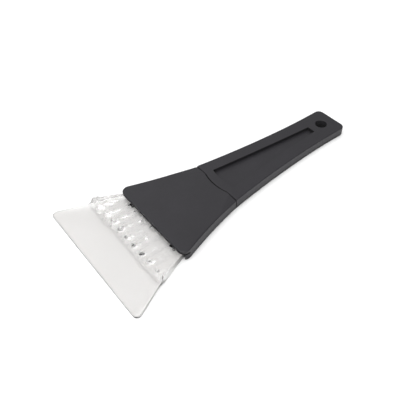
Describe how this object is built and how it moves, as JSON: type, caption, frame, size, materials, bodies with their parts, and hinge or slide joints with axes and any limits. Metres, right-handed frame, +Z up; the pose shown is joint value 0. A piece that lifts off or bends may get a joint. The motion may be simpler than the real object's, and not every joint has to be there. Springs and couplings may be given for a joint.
{
  "type": "windshield ice scraper",
  "caption": "Hand ice scraper for car windows: flared clear blade with ice-breaking teeth, black two-shell head, and a tapering handle with a recessed grip and hanging hole.",
  "frame": {"origin": "middle of the object's box, on the surface it rests on", "axes": "+X from the scraping edge towards the handle's tail, +Y across the blade, +Z up"},
  "size_m": [0.2224, 0.1066, 0.0085],
  "materials": {
    "clear_blade": "clear polycarbonate, polished",
    "head_shell": "black, fine moulded grain",
    "handle_shell": "black, fine moulded grain",
    "floor_plates": "black, plain moulded",
    "screws": "zinc plated"
  },
  "bodies": {
    "root": {"blade": "clear_blade", "head_cover": "head_shell", "head_base": "floor_plates", "handle_cover": "handle_shell", "handle_base": "floor_plates", "blade_screw_1": "screws", "blade_screw_2": "screws", "blade_screw_3": "screws", "neck_screw_1": "screws", "neck_screw_2": "screws", "handle_screw_1": "screws", "handle_screw_2": "screws"}
  },
  "joints": []
}
